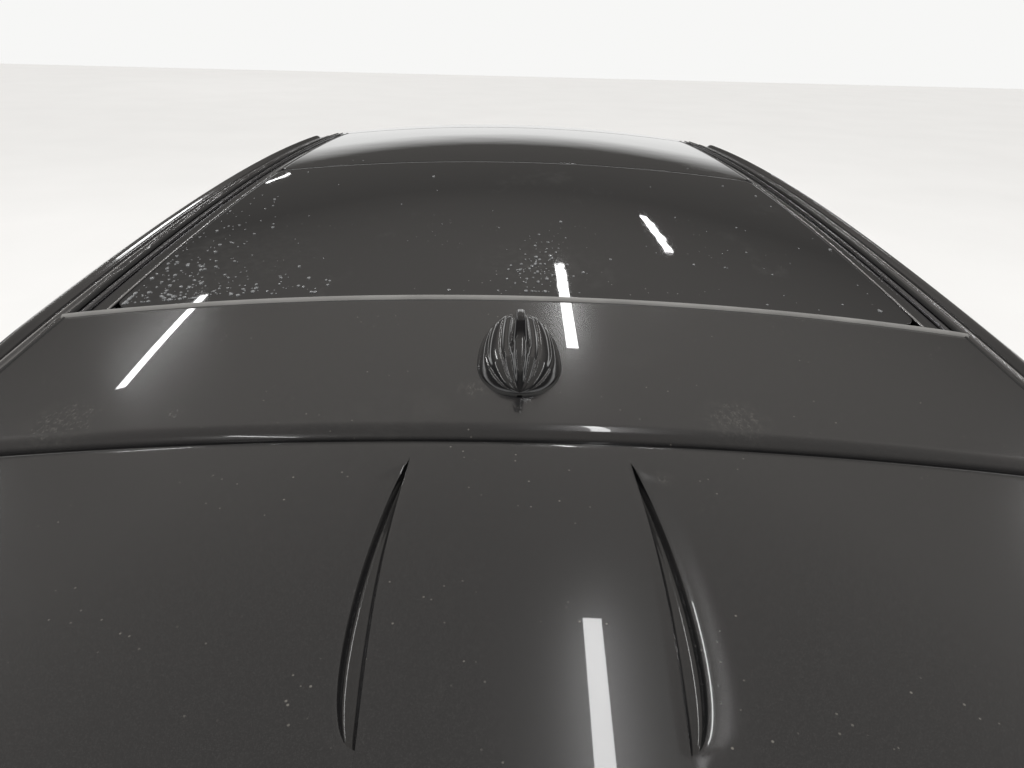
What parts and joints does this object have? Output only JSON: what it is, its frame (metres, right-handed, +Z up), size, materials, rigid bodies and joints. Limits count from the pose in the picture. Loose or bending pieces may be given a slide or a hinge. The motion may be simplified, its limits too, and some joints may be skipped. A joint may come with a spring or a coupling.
{
  "type": "sport utility vehicle",
  "caption": "Five-door sport utility vehicle with a long panoramic glass roof, flush roof rails, a shark-fin antenna and a long roof spoiler with two recesses.",
  "frame": {"origin": "centre of the ground rectangle under the vehicle, tyres standing on z = 0", "axes": "+Y towards the rear along the vehicle, +Z up, +X to the vehicle's left"},
  "size_m": [2.21, 4.82, 1.7152],
  "materials": {
    "body_paint": "gloss",
    "underbody": "matt",
    "fender_paint": "gloss",
    "roof_paint": "gloss",
    "roof_glass": "gloss",
    "roof_rail": "gloss",
    "antenna": "gloss",
    "windscreen": "gloss",
    "side_glass": "gloss",
    "bumper_paint": "gloss",
    "rear_bumper_paint": "gloss",
    "lamp": "gloss",
    "cladding": "matt",
    "suspension": "matt",
    "engine": "matt",
    "exhaust": "satin",
    "tank": "matt",
    "dashboard": "matt",
    "seat_leather": "matt",
    "bench_leather": "matt",
    "bonnet_paint": "gloss",
    "tailgate_paint": "gloss",
    "spoiler_paint": "gloss",
    "rear_screen": "gloss",
    "steering_leather": "matt",
    "front_door_left_paint": "gloss",
    "front_door_left_glass": "gloss",
    "tyre_front_left": "matt",
    "rim_front_left": "satin",
    "rear_door_left_paint": "gloss",
    "rear_door_left_glass": "gloss",
    "tyre_rear_left": "matt",
    "rim_rear_left": "satin",
    "mirror_left": "gloss",
    "knuckle_left": "matt",
    "front_door_right_paint": "gloss",
    "front_door_right_glass": "gloss",
    "tyre_front_right": "matt",
    "rim_front_right": "satin",
    "rear_door_right_paint": "gloss",
    "rear_door_right_glass": "gloss",
    "tyre_rear_right": "matt",
    "rim_rear_right": "satin",
    "mirror_right": "gloss",
    "knuckle_right": "matt"
  },
  "bodies": {
    "body": {"side_frames": "body_paint", "floor_pan": "underbody", "front_fenders": "fender_paint", "roof_panel": "roof_paint", "roof_glass": "roof_glass", "roof_rails": "roof_rail", "roof_antenna": "antenna", "windscreen": "windscreen", "quarter_glasses": "side_glass", "front_bumper": "bumper_paint", "rear_bumper": "rear_bumper_paint", "lamps": "lamp", "arch_cladding": "cladding", "suspension": "suspension", "engine_block": "engine", "exhaust": "exhaust", "fuel_tank": "tank", "dashboard": "dashboard", "front_seats": "seat_leather", "rear_bench": "bench_leather"},
    "bonnet": {"bonnet": "bonnet_paint"},
    "tailgate": {"tailgate": "tailgate_paint", "rear_spoiler": "spoiler_paint", "rear_glass": "rear_screen"},
    "steering_wheel": {"steering_wheel": "steering_leather"},
    "front_door_left": {"front_door_left": "front_door_left_paint", "front_door_glass_left": "front_door_left_glass", "door_mirror_left": "mirror_left"},
    "rear_door_left": {"rear_door_left": "rear_door_left_paint", "rear_door_glass_left": "rear_door_left_glass"},
    "knuckle_left": {"knuckle_left": "knuckle_left"},
    "wheel_front_left": {"tyre_front_left": "tyre_front_left", "rim_front_left": "rim_front_left"},
    "wheel_rear_left": {"tyre_rear_left": "tyre_rear_left", "rim_rear_left": "rim_rear_left"},
    "front_door_right": {"front_door_right": "front_door_right_paint", "front_door_glass_right": "front_door_right_glass", "door_mirror_right": "mirror_right"},
    "rear_door_right": {"rear_door_right": "rear_door_right_paint", "rear_door_glass_right": "rear_door_right_glass"},
    "knuckle_right": {"knuckle_right": "knuckle_right"},
    "wheel_front_right": {"tyre_front_right": "tyre_front_right", "rim_front_right": "rim_front_right"},
    "wheel_rear_right": {"tyre_rear_right": "tyre_rear_right", "rim_rear_right": "rim_rear_right"}
  },
  "joints": [
    {"name": "steering_turn", "type": "hinge", "parent": "body", "child": "steering_wheel", "pos_m": [-0.37, -0.668, 0.88], "axis": [0, 0.9272, 0.3746], "range_deg": [-540, 540]},
    {"name": "front_door_left_swing", "type": "hinge", "parent": "body", "child": "front_door_left", "pos_m": [0.946, -1.015, 0.7], "axis": [0, 0, -1], "range_deg": [0, 65]},
    {"name": "rear_door_left_swing", "type": "hinge", "parent": "body", "child": "rear_door_left", "pos_m": [0.957, 0.058, 0.7], "axis": [0, 0, -1], "range_deg": [0, 65]},
    {"name": "steer_left", "type": "hinge", "parent": "body", "child": "knuckle_left", "pos_m": [0.74, -1.56, 0.369], "axis": [0, 0, 1], "range_deg": [-33, 33]},
    {"name": "wheel_front_left_spin", "type": "hinge", "parent": "knuckle_left", "child": "wheel_front_left", "pos_m": [0.81, -1.56, 0.369], "axis": [1, 0, 0], "continuous": true},
    {"name": "wheel_rear_left_spin", "type": "hinge", "parent": "body", "child": "wheel_rear_left", "pos_m": [0.81, 1.33, 0.369], "axis": [1, 0, 0], "continuous": true},
    {"name": "front_door_right_swing", "type": "hinge", "parent": "body", "child": "front_door_right", "pos_m": [-0.946, -1.015, 0.7], "axis": [0, 0, 1], "range_deg": [0, 65]},
    {"name": "rear_door_right_swing", "type": "hinge", "parent": "body", "child": "rear_door_right", "pos_m": [-0.957, 0.058, 0.7], "axis": [0, 0, 1], "range_deg": [0, 65]},
    {"name": "steer_right", "type": "hinge", "parent": "body", "child": "knuckle_right", "pos_m": [-0.74, -1.56, 0.369], "axis": [0, 0, 1], "range_deg": [-33, 33]},
    {"name": "wheel_front_right_spin", "type": "hinge", "parent": "knuckle_right", "child": "wheel_front_right", "pos_m": [-0.81, -1.56, 0.369], "axis": [1, 0, 0], "continuous": true},
    {"name": "wheel_rear_right_spin", "type": "hinge", "parent": "body", "child": "wheel_rear_right", "pos_m": [-0.81, 1.33, 0.369], "axis": [1, 0, 0], "continuous": true},
    {"name": "bonnet_lift", "type": "hinge", "parent": "body", "child": "bonnet", "pos_m": [0, -1.128, 1.068], "axis": [-1, 0, 0], "range_deg": [0, 55]},
    {"name": "tailgate_lift", "type": "hinge", "parent": "body", "child": "tailgate", "pos_m": [0, 1.575, 1.612], "axis": [1, 0, 0], "range_deg": [0, 78]}
  ],
  "couplings": [
    {"joint": "steer_left", "follows": "steering_turn", "ratio": 0.061111},
    {"joint": "steer_right", "follows": "steering_turn", "ratio": 0.061111}
  ]
}
